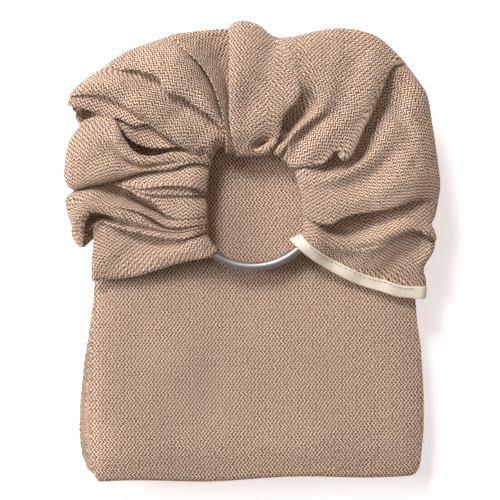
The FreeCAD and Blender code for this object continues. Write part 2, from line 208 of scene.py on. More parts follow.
BIG_RIGHT_LOBE = [
    ((25.3, 15.5), (30.5, 17, 15), (41, 17.3, 13.5), (50, 19, 12), (56, 18.8, 12.5), (63.5, 25, 13.5),
     (69.5, 37, 14), (75, 49, 14), (80, 59, 13.5), (85, 68, 13.5), (91, 74.5, 13), (97.5, 73, 10.5)),
    ((26.5, 12), (34, 12, 16), (46, 13, 17), (58, 17, 17.7), (69, 24, 18.3), (78, 35, 18.5), (87, 46, 17.5),
     (95, 56, 16.3), (104, 62.5, 11)),
    ((28, 7), (35, 6, 16.5), (47, 4, 17), (59, 7, 16), (71, 13, 16), (82, 22, 17), (92, 32, 17.5),
     (100, 40, 16.5), (107.2, 44.5, 11)),
    ((29.5, 0), (36, -2, 16.5), (48, -4, 19), (60, -2, 20), (73, 3, 20.5), (85, 10, 21), (95, 17, 20),
     (103, 23, 16.5), (109.8, 27, 11)),
    ((30.5, -6), (37, -9, 16.5), (48, -10.5, 18.5), (60, -7, 19.5), (74, -4.5, 20), (87, -1, 20),
     (98, 4, 18.5), (105, 6.5, 15.5), (112, 8, 10.5)),
    (LOWER_NEXT, (31, -10, 0.5), (36.5, -13.5, 15.5, 2), (46.4, -15.2, 17.2, 6), (52.9, -11.8, 18, 7),
     (61.3, -9, 18.8, 7), (70.6, -7.8, 19, 6), (78, -6.8, 19, 5), (85.4, -5, 18.3, 4), (91, -2.9, 17.5, 3),
     (98.5, -0.8, 16, 1.5), (104, -0.5, 14.5, 0.5), (110.8, -1, 10.5, 0)),
]
TAPE_LOBE = [
    ((31.2, -13.5), (37.5, -18, 14.5), (47, -18.5, 10.5), (54, -17.5, 8.5), (62, -17, 9.5), (72, -14, 12),
     (84, -12, 13.5), (96, -11, 13.5), (108.7, -11, 10)),
    ((31, -15.7), (37.7, -20.5, 14.5), (48, -21.5, 10.5), (58, -22.5, 9.5), (67, -22.7, 11.5),
     (77, -19.7, 14.5), (88, -16.5, 15.3), (97, -15, 14), (106.8, -15.2, 10.5)),
    ((30.8, -17.3), (37.5, -22.3, 14.5), (49, -25.5, 12.5), (61, -26.3, 13.5), (73, -24, 15.3),
     (84, -20, 16.3), (94, -17.5, 15.3), (108.5, -18.8, 10.5)),
    (LOWER_NEXT, (30.5, -18.6, 0), (37, -23.7, 14.2, 0), (50, -29, 12, 0), (63, -30.5, 12, 0),
     (76, -28, 13.5, 0), (87, -22.5, 14.7, 0.5), (95.7, -18.7, 14.3, 1.5), (101, -19.8, 13.3, 3),
     (105.3, -22.3, 12, 3.5), (110, -24.6, 9.5, 3)),
    ((30, -19.7), (36.3, -25, 14), (50, -32.5, 9.5), (64, -36.3, 8.5), (79, -35.5, 9.3), (91, -29, 10.5),
     (99, -26.5, 9.5), (104, -29, 8.5), (108.3, -31, 7.5)),
    ((29.2, -20.9), (35.5, -26.3, 14), (50, -35.7, 8.3), (65, -40.7, 6.8), (80, -42.7, 7), (92, -41, 7.5),
     (102.5, -41.5, 6.5)),
    ((27, -22.3), (33, -28.3, 13.9), (45, -37.7, 8.3), (58, -44.3, 6), (72, -48.3, 5.3), (87, -51.7, 5),
     (104, -49.5, 4.7)),
    ((23, -24.3), (28.3, -29.6, 13.7), (36.2, -35.9, 11), (45.5, -41.5, 7.5), (57.5, -47.8, 5),
     (68.7, -52.2, 4), (78, -54.8, 3.8), (87.3, -57.8, 3.5), (103.5, -59, 3.2)),
]
FAN = (HEM_LOBE + CURL + LEFT_LENS + BIG_LEFT_LOBE + UPPER_LEFT_LOBE + UPPER_LOBE + CROWN_LOBE
       + UPPER_RIGHT_LOBE + BIG_RIGHT_LOBE + TAPE_LOBE)

# The collar's lip hangs LIP_DROP under its crest. The cloth's sewn end is at SEWN_R, under the fan. Inside
# the rings' eye the cloth keeps within EYE_R, clear of the wire.
LIP_DROP, SEWN_R, EYE_R = 3.6, 64, 36.8
# A tuck's bottom goes TUCK_SHARE of its depth in under the lobe, and starts TUCK_FREE clear of its edge.
# The lower neighbour sinks by SINK of the tuck's drop.
TUCK_SHARE, TUCK_FREE, SINK = 1.15, 0.9, 0.35
COLLAR_ROWS, FAN_ROWS, RIM_ROWS = 22, 50, 20
COLUMN_STEP, SPAN_STEPS = 1.7, 12


# -------- lines and grids
def knots(points):
    """Centripetal knots of a line of points, so that a curve through them doesn't loop."""
    steps = np.sqrt(np.linalg.norm(np.diff(points, axis=0), axis=-1)) + 1e-4
    return np.concatenate([np.zeros_like(steps[:1]), np.cumsum(steps, axis=0)])


def span_curve(four, t, at):
    """One span of a Catmull-Rom curve, from the second of four points to the third, at the given shares."""
    now = (t[1] + (t[2] - t[1]) * at)[..., None]
    t = [k[..., None] for k in t]
    a = [((t[k + 1] - now) * four[k] + (now - t[k]) * four[k + 1]) / (t[k + 1] - t[k]) for k in range(3)]
    b = [((t[k + 2] - now) * a[k] + (now - t[k]) * a[k + 1]) / (t[k + 2] - t[k]) for k in range(2)]
    return ((t[2] - now) * b[0] + (now - t[1]) * b[1]) / (t[2] - t[1])


def through(points, counts):
    """A smooth curve through points (along the first axis), with counts[k] steps in span k."""
    points = np.concatenate([2 * points[:1] - points[1:2], points, 2 * points[-1:] - points[-2:-1]])
    t = knots(points)
    made = []
    for k, count in enumerate(counts):
        for step in range(count):
            made.append(span_curve(points[k:k + 4], t[k:k + 4], step / count))
    made.append(points[-2])
    return np.array(made)


def lengths(line):
    """Distance along a line of points, from its start, at each point."""
    return np.concatenate([[0.0], np.cumsum(np.linalg.norm(np.diff(line, axis=0), axis=-1))])


def spread(line, start, end, count):
    """count + 1 points evenly spaced along a dense line, between two distances."""
    run = lengths(line)
    wanted = np.linspace(start, end, count + 1)
    return np.stack([np.interp(wanted, run, line[:, k]) for k in range(3)], axis=1)


def smooth(x, low, high):
    """0 below low, 1 above high, and an even rise between them."""
    t = np.clip((np.asarray(x, float) - low) / (high - low), 0, 1)
    return t * t * (3 - 2 * t)


def hollow(x, y, at_x, at_y, half_x, half_y, turn):
    """A soft round hollow, turned by an angle: 1 at its middle and 0 outside."""
    dx, dy = x - at_x, y - at_y
    c, s = math.cos(turn), math.sin(turn)
    a, b = (dx * c + dy * s) / half_x, (-dx * s + dy * c) / half_y
    return np.exp(-(a * a + b * b))


def collar_start(inner, angle):
    """The cloth's run under the rings, from its sewn end to the collar's inner edge."""
    reach = np.linalg.norm(inner)
    start = math.atan2(inner[1], inner[0])
    turn = math.remainder(angle - start, 2 * math.pi)
    under = [(SEWN_R, 1.9), (54, 1.7), (46, 1.0), (39.5, 0.85), (min(max(reach + 3.5, 33), EYE_R), 1.7),
             (min(reach + 2.6, EYE_R), 5.0), (min(reach + 1.2, EYE_R), 8.5)]
    line = []
    for r, h in under:
        a = start + turn * float(smooth(r, reach, SEWN_R))
        line.append([r * math.cos(a), r * math.sin(a), h])
    return line


def rim_end(p, angle):
    """The cloth's turn under the rim, and its run back under the fan."""
    last = p[-1]
    out = last[:2] - p[-2, :2]
    out = out / (np.linalg.norm(out) + 1e-9)
    radial = last[:2] / np.linalg.norm(last[:2])
    out = out * 0.4 + radial * 0.6
    out = out / np.linalg.norm(out)
    low = 1.3 + 1.7 * float(smooth(last[1], 50, 75))
    way = np.array([math.cos(angle), math.sin(angle)])
    rim_r = np.linalg.norm(last[:2])
    turn = [[*(last[:2] - out * 0.8), 0.52 * last[2]],
            [*(last[:2] - out * 5.5), max(0.2 * last[2], low)]]
    back = [(rim_r - 15, low), (rim_r - 27, low), (max(rim_r - 40, 61), low + 0.4), (60, low + 1.6)]
    return turn + [[*(way * r), h] for r, h in back]


def with_lip(points):
    """A line's points as rows of numbers, with room for the first point's height."""
    (x, y, *depth), *others = points
    return np.array([(x, y, 0, *depth), *others], float)


def guide(points, seam_angle, rim_angle):
    """A guide line's rows: under the rings, round the collar, out to the rim and back under it."""
    p = points[:, :3].copy()
    p[0, 2] = p[1, 2] - LIP_DROP
    start = collar_start(p[0, :2], seam_angle)
    end = rim_end(p, rim_angle)
    line = np.concatenate([np.array(start), p, np.array(end)])
    dense = through(line, [SPAN_STEPS] * (len(line) - 1))
    run = lengths(dense)
    crest = run[SPAN_STEPS * (len(start) + 1)]
    rim = run[SPAN_STEPS * (len(start) + len(p) - 1)]
    rows = [spread(dense, 0, crest, COLLAR_ROWS)[:-1], spread(dense, crest, rim, FAN_ROWS)[:-1],
            spread(dense, rim, run[-1], RIM_ROWS)]
    return np.concatenate(rows)


def tucked(p, side):
    """The line at the bottom of a fold's tuck. The side that lies lower is 1, after it, or -1, before it."""
    along = np.gradient(p[:, :2], axis=0)
    along /= np.linalg.norm(along, axis=1)[:, None]
    across = np.stack([along[:, 1], -along[:, 0]], axis=1)
    depth = p[:, 3]
    shift = side * (0.4 + TUCK_FREE * smooth(depth, 0, 1.5) - TUCK_SHARE * depth)
    shift[0] = side * 0.5
    bottom = p[:, :2] + across * shift[:, None]
    bottom[-1] *= 1 - 0.35 * depth[-1] / np.linalg.norm(p[-1, :2])
    return np.column_stack([bottom, np.maximum(p[:, 2] - 1.35 * depth, 1.8)])


def at_radius(points, radius):
    """Where a guide line first reaches a distance from the rings' centre."""
    x, y = points[:, :2].T
    r = np.maximum.accumulate(np.hypot(x, y))
    return [np.interp(radius, r, x), np.interp(radius, r, y)]


def clockwise(places, inset):
    """The places' angles round the rings' centre, never turning back, and kept in from the two ends."""
    angles = np.minimum.accumulate(np.unwrap([math.atan2(p[1], p[0]) for p in places]))
    return np.clip(angles, angles[-1] + inset, angles[0] - inset) - np.linspace(0, 0.004, len(angles))


def fan_grid():
    """The fan's columns of points, clockwise, and the columns that bound its facets: its ends and tucks."""
    lines, tucks, lower = [], [], []
    for entry in FAN:
        if entry[0] not in (LOWER_NEXT, LOWER_BEFORE):
            lines.append(with_lip(entry))
            continue
        after = entry[0] == LOWER_NEXT
        points = with_lip(entry[1:])
        bottom = tucked(points, 1 if after else -1)
        at = len(lines)
        lower.append((at, at + 1, at + 2) if after else (at + 1, at, at - 1))
        tucks.append(at + 1 if after else at)
        lines += [points, bottom] if after else [bottom, points]
    seams = clockwise([at_radius(p, SEWN_R) for p in lines], math.radians(2.0))
    rims = clockwise([p[-1] for p in lines], math.radians(0.6))
    guides = np.array([guide(*each) for each in zip(lines, seams, rims)])
    rows, rim = np.arange(guides.shape[1]), guides.shape[1] - RIM_ROWS
    part = smooth(rows, COLLAR_ROWS, COLLAR_ROWS + 6) * (1 - smooth(rows, rim - 8, rim))
    for edge, tuck, beside in lower:
        if beside not in tucks:
            guides[beside, :, 2] -= SINK * np.clip(guides[edge, :, 2] - guides[tuck, :, 2], 0, 9) * part
    gaps = np.linalg.norm(np.diff(guides[:, COLLAR_ROWS:COLLAR_ROWS + FAN_ROWS], axis=0), axis=2).max(axis=1)
    counts = [int(min(max(round(g / COLUMN_STEP), 3), 12)) for g in gaps]
    columns = through(guides, counts)
    starts = np.concatenate([[0], np.cumsum(counts)])
    bounds = [0] + [int(starts[k]) for k in tucks] + [len(columns) - 1]
    return columns, bounds


# Soft hollows in the cloth between the folds: x, y, half length, half width, turn in degrees, depth.
DENTS = [
    (87, 50, 9, 4, -55, 3.5), (80, 58, 14, 4, 60, 1.5), (24, 61, 3.5, 3, 30, -1.2),
    (45, 6, 9, 3, 0, 1.2), (56, 15, 10, 3, 25, -0.8), (66, 27, 12, 3, 50, 1.0),
    (4.8, 33.0, 5.0, 1.7, 25, 7), (-20.8, 29.5, 3.5, 2.0, 75, 7), (18.5, 27.0, 3.2, 1.1, 62, 4),
    (-33.2, 4.2, 3.2, 0.9, -12, 4), (-62, 45, 16, 3, 33, -0.6), (-75, 61, 12, 3.5, 30, 0.9),
    (-45, 50, 10, 3, 40, 0.8), (-94, 24, 9, 5, 60, 1.2), (-88, 33, 8, 3, 40, -0.8),
    (8, 80, 12, 4, 80, 1.0), (62, 80, 12, 4, 70, 1.2), (48, 76, 14, 4, 85, -0.8),
    (96, 20, 10, 3, 60, 1.2), (75, 40, 8, 3, 45, -0.8), (-78, -35, 12, 4, 15, 0.9),
    (-60, -31, 10, 3, -8, -0.6), (76, -38, 12, 4, 12, -0.8), (92, -46, 9, 3, 10, 0.6),
    (36, 60, 9, 3, 75, 0.8), (-52, 84, 9, 3, 25, 0.8), (-4, 50, 12, 3, 85, 0.6),
    (90, 4, 8, 2.5, 20, 0.8), (-42, -7, 6, 2, 10, 0.7), (-98, -40, 4, 2, 60, 0.8),
]
# Over the rings' wire, which is WIRE_R from the centre, the cloth stays above WIRE_CLEAR.
WIRE_R, WIRE_CLEAR = 40.6, 13.3


def pressed(columns):
    """The fan with its dents and wrinkles, clear of the wire. The runs under it stay as they are."""
    rows = np.arange(columns.shape[1])
    outer = COLLAR_ROWS + FAN_ROWS
    inner = 1 - smooth(rows, outer - 4, outer + 2)
    part = smooth(rows, COLLAR_ROWS - 1, COLLAR_ROWS + 5) * inner
    dented = smooth(rows, COLLAR_ROWS - 9, COLLAR_ROWS - 4) * inner
    x, y = columns[..., 0], columns[..., 1]
    drop = np.zeros_like(x)
    for dent_x, dent_y, long, wide, turn, depth in DENTS:
        drop += depth * hollow(x, y, dent_x, dent_y, long, wide, math.radians(turn))
    ripple = 0.35 * np.sin(x / 3.1 + 2.2 * np.sin(y / 9.3)) * np.sin(y / 3.7 + 1.7 * np.sin(x / 7.9))
    ripple += 0.4 * np.sin(x / 6.3 - y / 8.9 + 1.5 * np.sin(y / 14.3))
    columns[..., 2] += ripple * part - drop * dented
    over_wire = 1 - smooth(np.abs(np.hypot(x, y) - WIRE_R), 3.6, 7.0)
    clear = np.where(rows >= COLLAR_ROWS - 2, WIRE_CLEAR * over_wire, 0)
    columns[..., 2] = np.maximum(columns[..., 2], clear)
    return columns


def runs(grid, axis):
    """Distances along a grid's lines in one direction, from the first point of each."""
    steps = np.linalg.norm(np.diff(grid, axis=axis), axis=2)
    return np.insert(np.cumsum(steps, axis=axis), 0, 0, axis=axis)


def facet_uv(columns, bounds):
    """Cloth coordinates in metres: across each facet from its middle column, and along each column."""
    u, v, across = np.zeros(columns.shape[:2]), runs(columns, 1), runs(columns, 0)
    v -= v[:, COLLAR_ROWS:COLLAR_ROWS + 1]
    for a, b in zip(bounds, bounds[1:]):
        u[a:b + 1] = across[a:b + 1] - across[(a + b) // 2]
    return u * MM, v * MM


def place(points):
    """Points in the fan's own millimetres, in the row frame in metres."""
    p = np.asarray(points, float) * MM
    return p + np.array([CENTRE_X, CENTRE_Y, STACK_TOP])


def add_object(name, data):
    """A new object in the scene."""
    made = bpy.data.objects.new(name, data)
    bpy.context.scene.collection.objects.link(made)
    return made


def smooth_mesh(name, points, faces):
    """A piece from points in the fan's millimetres and faces, shaded smooth."""
    mesh = bpy.data.meshes.new(name)
    mesh.from_pydata(place(points).reshape(-1, 3).tolist(), [], faces)
    mesh.polygons.foreach_set("use_smooth", [True] * len(mesh.polygons))
    mesh.update()
    return add_object(name, mesh)


def add_cloth_map(piece, uv):
    """Give each corner of a mesh its point's cloth coordinates, in metres."""
    layer = piece.data.uv_layers.new(name="weave")
    corners = np.empty(len(piece.data.loops), int)
    piece.data.loops.foreach_get("vertex_index", corners)
    layer.data.foreach_set("uv", np.asarray(uv)[corners].ravel())


def grid_mesh(name, points, u, v):
    """A piece from a grid of points, with cloth coordinates."""
    n, m = points.shape[:2]
    index = np.arange(n * m).reshape(n, m)
    quads = np.stack([index[:-1, :-1], index[1:, :-1], index[1:, 1:], index[:-1, 1:]], axis=-1)
    piece = smooth_mesh(name, points, quads.reshape(-1, 4).tolist())
    add_cloth_map(piece, np.stack([u, v], axis=-1).reshape(-1, 2))
    return piece


def thicken(piece, thickness):
    """Make a sheet solid, half of its thickness to each side."""
    solid = piece.modifiers.new("thickness", "SOLIDIFY")
    solid.thickness = thickness * MM
    solid.offset = 0.0
    solid.use_even_offset = False


# -------- materials
class Nodes:
    """A material's node tree, with short calls to add a node and join its inputs."""

    def __init__(self, name):
        self.material = bpy.data.materials.new(name)
        self.material.use_nodes = True
        self.tree = self.material.node_tree
        self.shader = self.tree.nodes["Principled BSDF"]

    def add(self, kind, inputs=(), **settings):
        node = self.tree.nodes.new(kind)
        for key, value in settings.items():
            setattr(node, key, value)
        for key, value in dict(inputs).items():
            self.join(node.inputs[key], value)
        return node

    def join(self, socket, value):
        if isinstance(value, bpy.types.NodeSocket):
            self.tree.links.new(value, socket)
        else:
            socket.default_value = value

    def set(self, name, value):
        """Join or set one of the shader's own inputs."""
        self.join(self.shader.inputs[name], value)

    def bump(self, height, strength, distance):
        inputs = {"Height": height, "Strength": strength, "Distance": distance}
        self.set("Normal", self.add("ShaderNodeBump", inputs).outputs[0])

    def where(self):
        return self.add("ShaderNodeTexCoord").outputs["Object"]

    def cloth_map(self):
        return self.add("ShaderNodeUVMap", uv_map="weave").outputs[0]

    def math(self, operation, a, b=0.0, c=0.0):
        return self.add("ShaderNodeMath", {0: a, 1: b, 2: c}, operation=operation).outputs[0]

    def spread(self, value, low, high, to_low=0.0, to_high=1.0):
        inputs = {"Value": value, "From Min": low, "From Max": high, "To Min": to_low, "To Max": to_high}
        return self.add("ShaderNodeMapRange", inputs, interpolation_type="SMOOTHSTEP").outputs["Result"]

    def noise(self, where, scale, detail=3.0):
        inputs = {"Vector": where, "Scale": scale, "Detail": detail}
        return self.add("ShaderNodeTexNoise", inputs).outputs["Fac"]

    def mix(self, share, a, b):
        node = self.add("ShaderNodeMix", data_type="RGBA")
        for key, value in ((0, share), (6, a), (7, b)):
            self.join(node.inputs[key], value)
        return node.outputs[2]


# The weave: metres from float to float and from zigzag to zigzag, how steeply the floats lean, and how far
# the threads wander.
FLOAT_PITCH, ZIGZAG_PITCH = 0.0022, 0.00315
ZIGZAG_LEAN, UNEVEN = 1.86, 0.7
RIB_PITCH = 0.0009


def woven_cloth(name, dark, light):
    """Zigzag weave: rows of short slanting floats, each row leaning the other way, over a brown ground."""
    n = Nodes(name)
    uv = n.cloth_map()
    where = n.where()
    drift = n.noise(uv, 170.0, 2.0)
    sway = n.noise(where, 140.0, 2.0)
    part = n.add("ShaderNodeSeparateXYZ", {0: uv})
    across = n.math("MULTIPLY_ADD", part.outputs[0], 1 / FLOAT_PITCH, n.math("MULTIPLY", drift, UNEVEN))
    along = n.math("MULTIPLY_ADD", part.outputs[1], 1 / ZIGZAG_PITCH, n.math("MULTIPLY", sway, UNEVEN))
    zigzag = n.math("PINGPONG", along, 0.5)
    phase = n.math("MULTIPLY_ADD", zigzag, ZIGZAG_LEAN, across)
    row = n.math("ABSOLUTE", n.math("SINE", n.math("MULTIPLY", along, 2 * math.pi)))
    wave = n.math("COSINE", n.math("MULTIPLY", phase, 2 * math.pi))
    float_line = n.math("POWER", n.math("MULTIPLY_ADD", wave, 0.5, 0.5), 1.4)
    float_end = n.math("MULTIPLY_ADD", n.math("POWER", row, 0.8), 0.62, 0.38)
    each = n.spread(n.noise(uv, 560.0, 1.0), 0.3, 0.7, 0.55, 1.3)
    floats = n.math("MULTIPLY", n.math("MULTIPLY", float_line, float_end), each)
    fibre = n.noise(uv, 3600.0, 2.0)
    thread = n.math("MULTIPLY_ADD", fibre, 0.3, floats)
    lit = n.spread(thread, 0.15, 0.80)
    base = n.mix(lit, (*dark, 1), (*light, 1))
    patch = n.noise(where, 26.0, 3.0)
    shade = n.spread(patch, 0.3, 0.7, 0.93, 1.06)
    tint = n.add("ShaderNodeVectorMath", {0: base, "Scale": shade}, operation="SCALE")
    n.set("Base Color", tint.outputs[0])
    n.set("Roughness", n.spread(lit, 0.0, 1.0, 0.92, 0.78))
    n.bump(thread, 0.7, 0.00007)
    n.set("Sheen Weight", 0.12)
    n.set("Sheen Roughness", 0.45)
    n.set("Specular IOR Level", 0.25)
    return n.material


def cotton_tape(name):
    """Cream twill tape: fine slanting ribs with a soft nap."""
    n = Nodes(name)
    uv = n.cloth_map()
    part = n.add("ShaderNodeSeparateXYZ", {0: uv})
    slant = n.math("ADD", part.outputs[0], part.outputs[1])
    rib = n.math("SINE", n.math("MULTIPLY", slant, 2 * math.pi / RIB_PITCH))
    fibre = n.noise(uv, 4200.0, 2.0)
    relief = n.math("MULTIPLY_ADD", fibre, 0.8, rib)
    lit = n.spread(relief, -1.0, 1.6)
    n.set("Base Color", n.mix(lit, (0.92, 0.79, 0.62, 1), (1.0, 0.93, 0.81, 1)))
    n.set("Roughness", n.spread(fibre, 0.2, 0.8, 0.78, 0.92))
    n.bump(relief, 0.5, 0.00012)
    n.set("Sheen Weight", 0.15)
    n.set("Specular IOR Level", 0.25)
    return n.material


def sewing_thread(name):
    """Twisted cotton thread."""
    n = Nodes(name)
    where = n.where()
    twist = n.add("ShaderNodeTexWave", {"Vector": where, "Scale": 900.0, "Distortion": 1.5})
    lit = n.spread(twist.outputs["Fac"], 0.1, 0.9)
    n.set("Base Color", n.mix(lit, (0.42, 0.31, 0.22, 1), (0.74, 0.60, 0.46, 1)))
    n.set("Roughness", n.spread(lit, 0.0, 1.0, 0.85, 0.65))
    n.bump(twist.outputs["Fac"], 0.6, 0.0001)
    n.set("Sheen Weight", 0.1)
    return n.material


def satin_aluminium(name):
    """Tumbled and anodised aluminium: soft satin with faint rubbing marks."""
    n = Nodes(name)
    where = n.where()
    cloud = n.noise(where, 60.0, 4.0)
    grain = n.noise(where, 2600.0, 3.0)
    patch = n.spread(cloud, 0.3, 0.7)
    n.set("Base Color", n.mix(patch, (0.40, 0.395, 0.39, 1), (0.50, 0.49, 0.485, 1)))
    rubbed = n.math("MULTIPLY_ADD", grain, 0.12, n.spread(cloud, 0.25, 0.75, 0.32, 0.42))
    n.set("Roughness", rubbed)
    n.bump(grain, 0.12, 0.00005)
    n.set("Metallic", 1.0)
    return n.material


def pale_floor(name):
    """A matt pale table top that is lit a little from within, so that shadows on it stay light."""
    n = Nodes(name)
    where = n.where()
    grain = n.noise(where, 40.0, 2.0)
    n.set("Base Color", n.mix(grain, (0.93, 0.93, 0.93, 1), (0.95, 0.95, 0.95, 1)))
    n.set("Roughness", 0.9)
    n.set("Specular IOR Level", 0.1)
    n.set("Emission Color", (1.0, 0.955, 0.970, 1))
    n.set("Emission Strength", 0.55)
    return n.material


CLOTH_DARK = (0.135, 0.056, 0.027)
CLOTH_LIGHT = (0.90, 0.69, 0.54)
cloth = woven_cloth("zigzag_twill", CLOTH_DARK, CLOTH_LIGHT)
tape_cloth = cotton_tape("cream_tape")
thread = sewing_thread("cotton_thread")
metal = satin_aluminium("satin_aluminium")


# -------- the shoulder fan
fan_columns, fan_bounds = fan_grid()
fan_columns = pressed(fan_columns)
fan_u, fan_v = facet_uv(fan_columns, fan_bounds)
fan = grid_mesh("shoulder_fan", fan_columns, fan_u, fan_v)
fan.data.materials.append(cloth)
thicken(fan, CLOTH)
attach(fan, "shoulder")
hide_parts("ring_casing", "tape_side_pleat", "right_pleat", "upper_right_pleat", "crown_pleat",
            "narrow_crown_pleat", "upper_left_pleat", "left_pleat", "rolled_pleat", "lower_left_pleat",
            "hem_side_pleat")


# -------- the folded wrap
# Stretch 7 is the top one. A zigzag of seven stretches, each of three plies, makes one strip of cloth.
# PITCH is from stretch to stretch and PLY from ply to ply. The near ends are where stretches 7, 5 and 3 turn
# into the one below. A corner's radius is CORNER. The far edge is a flattened oval.
PITCH, PLY = 3.5, 1.1
STRETCHES = 7
NEAR_END = {7: -169.0, 5: -165.0, 3: -160.5}
TAIL_END = -161.5
CORNER = 3.6
FAR_REACH, FAR_HALF, FAR_ROUND = 93.0, 100.0, 3.5
LEFT_EDGE = [(-170, -95.4), (-158, -98.0), (-130, -99.3), (-85, -97.5), (-50, -95), (0, -94), (100, -94)]
RIGHT_EDGE = [(-170, 97.8), (-160, 100.8), (-138, 102.4), (-120, 102.4), (-90, 101.2), (-72, 99), (-55, 98),
              (0, 97), (100, 97)]
LOW_LEFT_EDGE = [(-166, -101), (-160, -103.6), (-152, -105.2), (-142, -106), (-126, -105.3), (-102, -102.6),
                 (-78, -98.7), (-50, -95), (100, -93)]
# Where the stack is pressed down: the share of its height, then x, y, half width, half length and turn.
PRESSED = [(0.055, -14, 5, 8, 40, 0.05), (0.20, -31, 4, 11, 28, 0), (0.085, -22, -95, 13, 55, -0.22),
           (0.05, 62, -125, 20, 50, 0.4), (0.022, -75, -110, 10, 45, 0.1)]
TOP_STEPS, STRETCH_STEPS, TURN_STEPS = 74, 26, 8
PLY_COLUMNS, PLY_TURN = 30, 5


def along_table(table, at):
    """A smooth reading of a table of (place, value)."""
    places, values = zip(*table)
    at = np.clip(np.asarray(at, float), places[0], places[-1])
    k = np.clip(np.searchsorted(places, at, side="right") - 1, 0, len(places) - 2)
    places, values = np.array(places), np.array(values)
    t = (at - places[k]) / (places[k + 1] - places[k])
    return values[k] + (values[k + 1] - values[k]) * (t * t * (3 - 2 * t) * 0.4 + t * 0.6)


def strip_path():
    """Rows of the strip: share of the way to the far end, the near end's y, height, y and z of the way in
    which plies are offset, and how far the turn sticks out."""
    rows = []
    for k in range(STRETCHES, 0, -1):
        near = NEAR_END.get(k) or NEAR_END.get(k + 1, TAIL_END)
        height = PITCH * (k - 0.5)
        steps = TOP_STEPS if k == STRETCHES else STRETCH_STEPS
        inward = (STRETCHES - k) % 2 == 0
        way = 1.0 if inward else -1.0
        for j in range(steps + 1):
            rows.append((1 - j / steps if inward else j / steps, near, height, 0.0, way, 0.0))
        if k == 1:
            break
        share = 0.0 if inward else 1.0
        for j in range(1, TURN_STEPS):
            a = math.pi * j / TURN_STEPS
            turn_h = height - PITCH / 2 + PITCH / 2 * math.cos(a)
            bulge = -way * math.sin(a) * PITCH / 2
            rows.append((share, near, turn_h, -math.sin(a), way * math.cos(a), bulge))
    return rows


def ply_section():
    """Across the strip: (share of the width, offset, how far the turn sticks out), over three plies."""
    points = []
    for offset in (1, 0, -1):
        forward = offset != 0
        shares = [j / PLY_COLUMNS for j in range(PLY_COLUMNS + 1)]
        if not forward:
            shares.reverse()
        points += [(share, offset * PLY, 0.0) for share in shares]
        if offset == -1:
            break
        side = 1 if forward else -1
        for j in range(1, PLY_TURN):
            a = math.pi * j / PLY_TURN
            points.append((1.0 if forward else 0.0, (offset - 0.5 + 0.5 * math.cos(a)) * PLY,
                           side * 0.5 * PLY * math.sin(a)))
    return points


def press(x, y, left, right, near):
    """How far the stack is pressed down at a place, as a share of its height."""
    side = np.minimum(x - left, right - x)
    edge = 1 - smooth(side, -2, 15)
    end = 1 - smooth(y - near, -3, 17)
    f = 1 - 0.13 * np.maximum(edge, end) - 0.04 * edge * end
    for share, *where in PRESSED:
        f -= share * hollow(x, y, *where)
    f += 0.012 * np.sin(x / 13.0 + y / 31.0) * np.sin(y / 22.0 - x / 37.0)
    return f


def packet_grid():
    """The folded strip's points and cloth coordinates."""
    rows, section = np.array(strip_path()), np.array(ply_section())
    share, near, height, way_y, way_z, bulge = rows.T[:, None, :]
    across, offset, poke = section.T[:, :, None]
    # The near end slants and waves a little, and lower stretches reach further left. Heights are pressed down
    # towards the sides and in the hollows, and stay over the floor.
    guess_x = -97 + 197 * across
    near_y = near + 4.5 * across + 0.9 * np.sin(guess_x / 17.0)
    aside = np.clip(np.abs(guess_x - 1.5) / FAR_HALF, 0, 0.995)
    far_y = FAR_REACH * (1 - aside ** FAR_ROUND) ** (1 / FAR_ROUND)
    y = near_y + (far_y - near_y) * share
    low = 1 - smooth(height, 12, 19)
    left = along_table(LEFT_EDGE, y) * (1 - low) + along_table(LOW_LEFT_EDGE, y) * low
    right = along_table(RIGHT_EDGE, y) - 1.6 * low
    shift = 0.5 * np.sin(height * 1.7 + y / 23.0)
    left, right = left + shift, right + shift
    corner = 1 - np.clip((y - near_y + bulge + 1.7) / CORNER, 0, 1)
    corner = CORNER * (1 - np.sqrt(1 - corner ** 2))
    left, right = left + corner, right - corner
    x = left + (right - left) * across + poke
    y = y + bulge + way_y * offset
    z = np.maximum((height + way_z * offset) * np.clip(press(x, y, left, right, near_y), 0.72, 1.0), 0.7)
    points = np.stack(np.broadcast_arrays(x, y, z - STRETCHES * PITCH), axis=-1)
    u = np.array([lengths(points[:, row, ::2]) for row in range(points.shape[1])]).T + points[:1, :, 0]
    v = np.array([lengths(column[:, 1:]) for column in points]) - points[:, :1, 1]
    return points, u * MM, v * MM


packet_points, packet_u, packet_v = packet_grid()
packet = grid_mesh("wrap_body", packet_points, packet_u, packet_v)
packet.data.materials.append(cloth)
thicken(packet, CLOTH)
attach(packet, "wrap")
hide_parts("body_fold_1", "body_fold_2", "body_fold_3", "body_fold_4", "body_fold_5", "body_fold_6",
            "body_fold_7", "shoulder_underlay")

# -------- the turn from the wrap up to the shoulder
TURN_FROM, TURN_TO = math.radians(131), math.radians(47)
TURN_COLUMNS = 110
TURN_LOW, TURN_HIGH, TURN_INSET, TURN_THICK = 0.36, 2.04, 4.5, 0.6


def rim_distance(angle):
    """The fan's rim distance from the rings' centre, at its smallest near an angle."""
    rim = fan_columns[:, COLLAR_ROWS + FAN_ROWS, :2]
    angles, reach = np.arctan2(rim[:, 1], rim[:, 0]), np.hypot(*rim.T)
    return reach[np.abs(angles - angle) < math.radians(4)].min()


